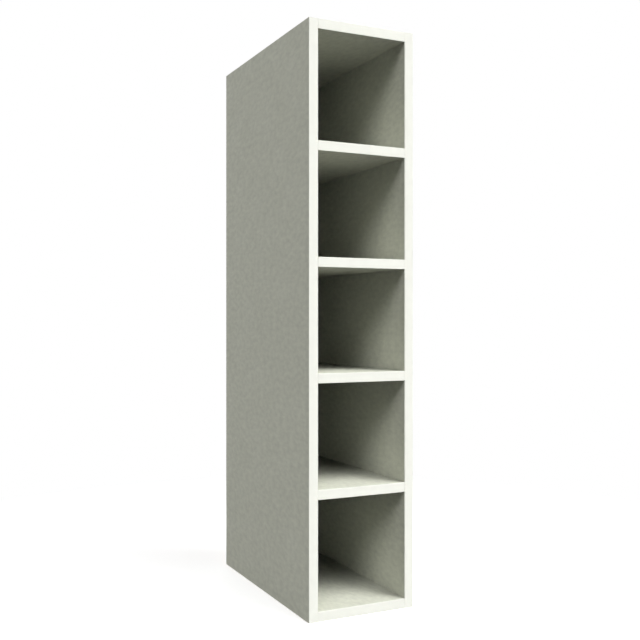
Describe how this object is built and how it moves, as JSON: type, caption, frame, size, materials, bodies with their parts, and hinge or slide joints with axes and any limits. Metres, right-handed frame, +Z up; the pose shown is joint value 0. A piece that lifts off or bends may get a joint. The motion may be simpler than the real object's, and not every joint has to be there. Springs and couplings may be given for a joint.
{
  "type": "wine cabinet",
  "caption": "Tall narrow open wall cabinet whose fixed shelves form stacked bottle bays, with knock-down cam fittings and hang rails behind a grooved-in back panel.",
  "frame": {"origin": "centre of the underside, on the plane of the bottom panel and the sides' lower ends", "axes": "+X to the right seen from the front, +Y from the front to the wall, +Z up"},
  "size_m": [0.1524, 0.3048, 0.762],
  "materials": {
    "white_melamine_board": "warm-white satin melamine on particle board, raw at the unbanded edges",
    "white_edge_band": "warm-white satin band with eased arrises",
    "white_back_board": "warm-white lacquer on the front, raw fibreboard behind",
    "beech_dowel": "raw beech",
    "cam_zinc": "dull die-cast zinc",
    "bolt_steel": "bright zinc-plated steel"
  },
  "bodies": {
    "carcass": {"left_side": "white_melamine_board", "right_side": "white_melamine_board", "top_panel": "white_melamine_board", "bottom_panel": "white_melamine_board", "shelf_1": "white_melamine_board", "shelf_2": "white_melamine_board", "shelf_3": "white_melamine_board", "shelf_4": "white_melamine_board", "back_panel": "white_back_board", "top_hang_rail": "white_melamine_board", "bottom_hang_rail": "white_melamine_board", "left_side_band": "white_edge_band", "right_side_band": "white_edge_band", "top_panel_band": "white_edge_band", "bottom_panel_band": "white_edge_band", "shelf_1_band": "white_edge_band", "shelf_2_band": "white_edge_band", "shelf_3_band": "white_edge_band", "shelf_4_band": "white_edge_band", "top_panel_dowels": "beech_dowel", "bottom_panel_dowels": "beech_dowel", "top_rail_dowels": "beech_dowel", "bottom_rail_dowels": "beech_dowel", "left_cam_bolts": "bolt_steel", "right_cam_bolts": "bolt_steel"},
    "top_cam_front_left": {"top_cam_front_left": "cam_zinc"},
    "top_cam_front_right": {"top_cam_front_right": "cam_zinc"},
    "top_cam_rear_left": {"top_cam_rear_left": "cam_zinc"},
    "top_cam_rear_right": {"top_cam_rear_right": "cam_zinc"},
    "bottom_cam_front_left": {"bottom_cam_front_left": "cam_zinc"},
    "bottom_cam_front_right": {"bottom_cam_front_right": "cam_zinc"},
    "bottom_cam_rear_left": {"bottom_cam_rear_left": "cam_zinc"},
    "bottom_cam_rear_right": {"bottom_cam_rear_right": "cam_zinc"}
  },
  "joints": [
    {"name": "top_cam_front_left_turn", "type": "hinge", "parent": "carcass", "child": "top_cam_front_left", "pos_m": [-0.0395, -0.0884, 0.75565], "axis": [0, 0, 1], "range_deg": [0, 180]},
    {"name": "top_cam_front_right_turn", "type": "hinge", "parent": "carcass", "child": "top_cam_front_right", "pos_m": [0.0395, -0.0884, 0.75565], "axis": [0, 0, 1], "range_deg": [0, 180]},
    {"name": "top_cam_rear_left_turn", "type": "hinge", "parent": "carcass", "child": "top_cam_rear_left", "pos_m": [-0.0395, 0.0884, 0.75565], "axis": [0, 0, 1], "range_deg": [0, 180]},
    {"name": "top_cam_rear_right_turn", "type": "hinge", "parent": "carcass", "child": "top_cam_rear_right", "pos_m": [0.0395, 0.0884, 0.75565], "axis": [0, 0, 1], "range_deg": [0, 180]},
    {"name": "bottom_cam_front_left_turn", "type": "hinge", "parent": "carcass", "child": "bottom_cam_front_left", "pos_m": [-0.0395, -0.0884, 0.00635], "axis": [0, 0, -1], "range_deg": [0, 180]},
    {"name": "bottom_cam_front_right_turn", "type": "hinge", "parent": "carcass", "child": "bottom_cam_front_right", "pos_m": [0.0395, -0.0884, 0.00635], "axis": [0, 0, -1], "range_deg": [0, 180]},
    {"name": "bottom_cam_rear_left_turn", "type": "hinge", "parent": "carcass", "child": "bottom_cam_rear_left", "pos_m": [-0.0395, 0.0884, 0.00635], "axis": [0, 0, -1], "range_deg": [0, 180]},
    {"name": "bottom_cam_rear_right_turn", "type": "hinge", "parent": "carcass", "child": "bottom_cam_rear_right", "pos_m": [0.0395, 0.0884, 0.00635], "axis": [0, 0, -1], "range_deg": [0, 180]}
  ]
}
